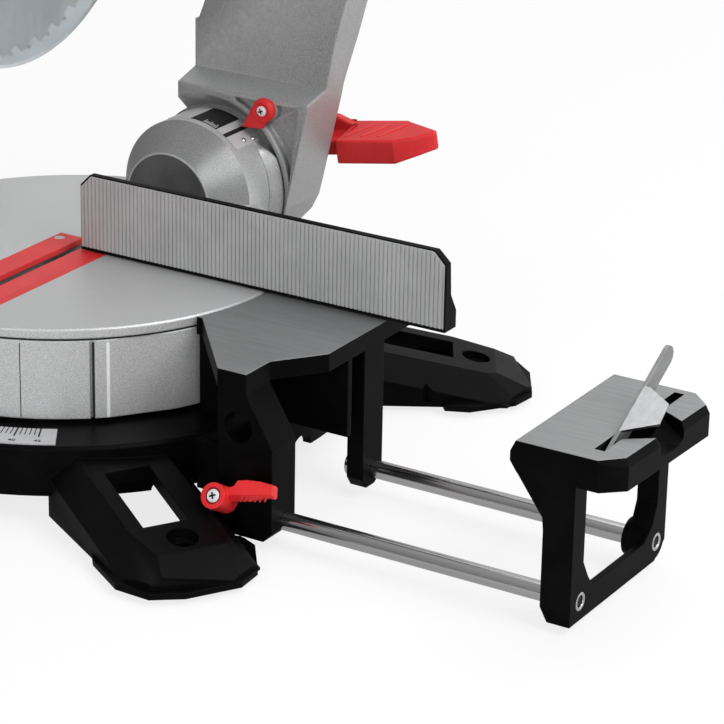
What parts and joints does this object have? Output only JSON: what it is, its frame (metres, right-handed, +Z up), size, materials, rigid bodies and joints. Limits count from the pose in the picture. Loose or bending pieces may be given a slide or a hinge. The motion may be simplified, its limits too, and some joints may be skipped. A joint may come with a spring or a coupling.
{
  "type": "sliding compound mitre saw",
  "caption": "Sliding compound mitre saw: turntable with a swing-out nose, tilting arm with slide rails and a hinged blade head, and pull-out work supports with flip stops.",
  "frame": {"origin": "on the bench under the turntable's axis, in the plane of the fence's face", "axes": "+X along the fence to the right, +Y to the back, +Z up"},
  "size_m": [0.9648, 0.859, 0.5505],
  "materials": {
    "cast_black": "satin black powder coat on cast aluminium",
    "cast_silver": "silver paint on cast aluminium",
    "red_plastic": "moulded red plastic",
    "steel": "bright steel",
    "scale": "printed scale plate",
    "rubber": "matt rubber",
    "black_plastic": "textured black plastic",
    "bush": "bearing bronze",
    "clear_guard": "clear smoked plastic"
  },
  "bodies": {
    "base": {"base_casting": "cast_black", "wing_bolts": "steel", "rubber_feet": "rubber", "right_wing": "cast_black", "left_wing": "cast_black", "mitre_scale": "scale", "right_fence": "cast_black", "left_fence": "cast_black", "fence_bolts": "steel", "clamp_studs": "steel"},
    "turntable": {"turntable": "cast_silver", "left_insert": "red_plastic", "right_insert": "red_plastic", "insert_screws": "steel", "mitre_pointer": "red_plastic", "pivot_bolt": "steel", "bevel_scale": "scale", "bevel_bolt": "steel"},
    "mitre_lock": {"mitre_knob": "black_plastic", "mitre_stud": "steel"},
    "bevel": {"bevel_arm": "cast_silver", "bevel_pointer": "red_plastic", "rail_bushes": "bush"},
    "bevel_lock": {"bevel_lever": "red_plastic"},
    "rail_lock": {"rail_lock_knob": "black_plastic"},
    "slide": {"slide_rails": "steel", "rail_end_cap": "black_plastic", "hinge_bracket": "cast_silver", "hinge_pin": "steel"},
    "head": {"upper_guard": "cast_silver", "belt_case": "cast_silver", "belt_cover": "black_plastic", "motor_housing": "black_plastic", "motor_end_cap": "black_plastic", "motor_stator": "steel", "drive_belt": "rubber", "handle": "black_plastic", "dust_spout": "black_plastic", "arbor_bearings": "steel", "cord_gland": "rubber"},
    "blade": {"saw_blade": "steel", "arbor": "steel", "blade_flanges": "steel", "blade_bolt": "steel"},
    "armature": {"armature": "steel"},
    "lower_guard": {"lower_guard": "clear_guard"},
    "trigger": {"trigger": "red_plastic"},
    "lock_off": {"lock_off_button": "red_plastic"},
    "spindle_lock": {"spindle_lock": "red_plastic"},
    "right_support": {"right_end_frame": "cast_black", "right_rods": "steel"},
    "right_stop": {"right_flip_stop": "steel"},
    "left_support": {"left_end_frame": "cast_black", "left_rods": "steel"},
    "left_stop": {"left_flip_stop": "steel"},
    "right_clamp": {"right_clamp_lever": "red_plastic"},
    "left_clamp": {"left_clamp_lever": "red_plastic"}
  },
  "joints": [
    {"name": "mitre_turn", "type": "hinge", "parent": "base", "child": "turntable", "pos_m": [0, 0, 0.116], "axis": [0, 0, 1], "range_deg": [-47, 47]},
    {"name": "mitre_lock_turn", "type": "hinge", "parent": "turntable", "child": "mitre_lock", "pos_m": [0, -0.35, 0.086], "axis": [0, -1, 0], "range_deg": [0, 180]},
    {"name": "bevel_tilt", "type": "hinge", "parent": "turntable", "child": "bevel", "pos_m": [0, 0.17, 0.116], "axis": [0, -1, 0], "range_deg": [0, 45]},
    {"name": "bevel_lever_turn", "type": "hinge", "parent": "bevel", "child": "bevel_lock", "pos_m": [0, 0.24, 0.116], "axis": [0, -1, 0], "range_deg": [-20, 25]},
    {"name": "rail_lock_turn", "type": "hinge", "parent": "bevel", "child": "rail_lock", "pos_m": [0.125, 0.215, 0.374], "axis": [1, 0, 0], "range_deg": [0, 180]},
    {"name": "rail_slide", "type": "slide", "parent": "bevel", "child": "slide", "axis": [0, -1, 0], "range_m": [0, 0.2]},
    {"name": "chop", "type": "hinge", "parent": "slide", "child": "head", "pos_m": [0.06, 0.15, 0.324], "axis": [1, 0, 0], "range_deg": [0, 43], "stiffness_Nm_per_rad": 30, "springref_deg": -40.11},
    {"name": "blade_spin", "type": "hinge", "parent": "head", "child": "blade", "pos_m": [0, -0.05448, 0.39044], "axis": [1, 0, 0], "continuous": true},
    {"name": "armature_spin", "type": "hinge", "parent": "head", "child": "armature", "pos_m": [0.12, -0.00848, 0.47011], "axis": [1, 0, 0], "continuous": true},
    {"name": "lower_guard_turn", "type": "hinge", "parent": "head", "child": "lower_guard", "pos_m": [0, -0.05448, 0.39044], "axis": [-1, 0, 0], "range_deg": [0, 170]},
    {"name": "trigger_press", "type": "slide", "parent": "head", "child": "trigger", "axis": [0, -0.2773, 0.9608], "range_m": [0, 0.004], "stiffness_N_per_m": 800, "springref_m": -0.002},
    {"name": "lock_off_press", "type": "slide", "parent": "head", "child": "lock_off", "axis": [1, 0, 0], "range_m": [0, 0.004], "stiffness_N_per_m": 600, "springref_m": -0.002},
    {"name": "spindle_lock_press", "type": "slide", "parent": "head", "child": "spindle_lock", "axis": [-1, 0, 0], "range_m": [0, 0.004], "stiffness_N_per_m": 800, "springref_m": -0.002},
    {"name": "right_support_slide", "type": "slide", "parent": "base", "child": "right_support", "axis": [1, 0, 0], "range_m": [-0.15, 0]},
    {"name": "right_stop_flip", "type": "hinge", "parent": "right_support", "child": "right_stop", "pos_m": [0.458, -0.095, 0.11], "axis": [1, 0, 0], "range_deg": [-30, 45]},
    {"name": "right_clamp_turn", "type": "hinge", "parent": "base", "child": "right_clamp", "pos_m": [0.2167, -0.14121, 0.037], "axis": [0, -0.866, 0.5], "range_deg": [-25, 8]},
    {"name": "left_support_slide", "type": "slide", "parent": "base", "child": "left_support", "axis": [-1, 0, 0], "range_m": [-0.15, 0]},
    {"name": "left_stop_flip", "type": "hinge", "parent": "left_support", "child": "left_stop", "pos_m": [-0.458, -0.095, 0.11], "axis": [1, 0, 0], "range_deg": [-30, 45]},
    {"name": "left_clamp_turn", "type": "hinge", "parent": "base", "child": "left_clamp", "pos_m": [-0.2167, -0.14121, 0.037], "axis": [0, 0.866, -0.5], "range_deg": [-25, 8]}
  ],
  "couplings": [
    {"joint": "armature_spin", "follows": "blade_spin", "ratio": 2},
    {"joint": "lower_guard_turn", "follows": "chop", "ratio": 3.953}
  ]
}
